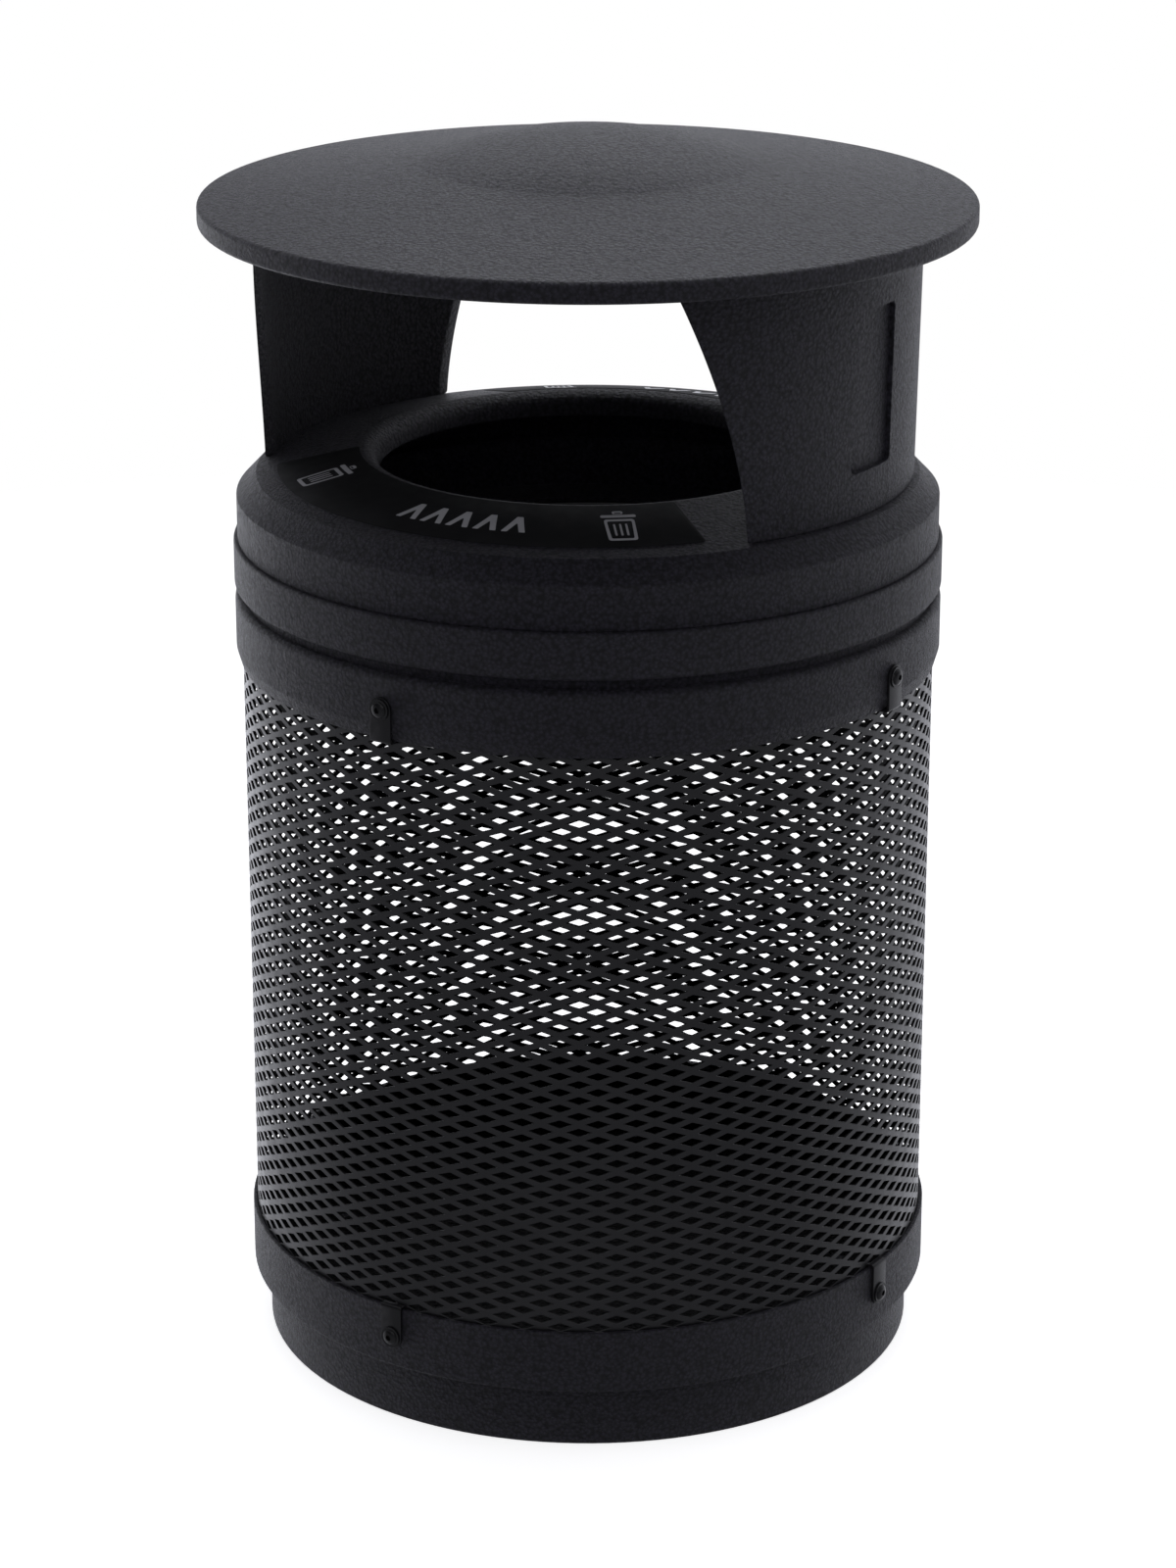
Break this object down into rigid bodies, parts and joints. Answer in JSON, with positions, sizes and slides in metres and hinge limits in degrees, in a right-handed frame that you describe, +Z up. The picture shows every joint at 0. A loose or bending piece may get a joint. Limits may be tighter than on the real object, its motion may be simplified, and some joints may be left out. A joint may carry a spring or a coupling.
{
  "type": "litter bin",
  "caption": "Round outdoor litter bin: mesh drum between moulded rings, lift-off lid with a round throat, and a canopy on two curved legs.",
  "frame": {"origin": "centre of the foot, on the ground", "axes": "+Z up, front throw-in opening towards -Y, canopy legs at +X and -X, key lock at +Y"},
  "size_m": [0.674, 0.674, 1.1046],
  "materials": {
    "moulded_black": "fine pebble grain, satin",
    "coated_mesh": "black powder coat, satin",
    "coated_steel": "black powder coat, semi-gloss",
    "vinyl": "smooth matt vinyl",
    "zinc_steel": "zinc plated",
    "lock_chrome": "satin chrome"
  },
  "bodies": {
    "bin": {"base_tub": "moulded_black", "lower_hoop": "coated_steel", "mesh_screen": "coated_mesh", "upper_hoop": "coated_steel", "upper_ring": "moulded_black", "collar_ring": "moulded_black", "lower_clip_front": "coated_steel", "lower_clip_right": "coated_steel", "lower_clip_rear": "coated_steel", "lower_clip_left": "coated_steel", "upper_clip_front": "coated_steel", "upper_clip_right": "coated_steel", "upper_clip_rear": "coated_steel", "upper_clip_left": "coated_steel", "lower_clip_screws": "coated_steel", "upper_clip_screws": "coated_steel", "lower_clip_nuts": "zinc_steel", "upper_clip_nuts": "zinc_steel", "collar_screws": "zinc_steel", "collar_nuts": "zinc_steel", "lock_keeper": "zinc_steel", "keeper_screws": "zinc_steel"},
    "lid": {"lid_ring": "moulded_black", "leg_left": "moulded_black", "leg_right": "moulded_black", "leg_screws": "zinc_steel", "canopy": "moulded_black", "canopy_screws": "zinc_steel", "decal_front": "vinyl", "decal_rear": "vinyl", "lock_housing": "lock_chrome", "lock_nut": "coated_steel"},
    "bag_hoop": {"bag_ring": "zinc_steel"},
    "lock": {"lock_plug": "lock_chrome", "lock_cam": "zinc_steel", "cam_screw": "zinc_steel"}
  },
  "joints": [
    {"name": "lid_lift", "type": "slide", "parent": "bin", "child": "lid", "axis": [0, 0, 1], "range_m": [0, 0.3]},
    {"name": "bag_ring_lift", "type": "slide", "parent": "bin", "child": "bag_hoop", "axis": [0, 0, 1], "range_m": [0, 0.085]},
    {"name": "lock_turn", "type": "hinge", "parent": "lid", "child": "lock", "pos_m": [0, 0.3, 0.766], "axis": [0, 1, 0], "range_deg": [0, 90]}
  ]
}
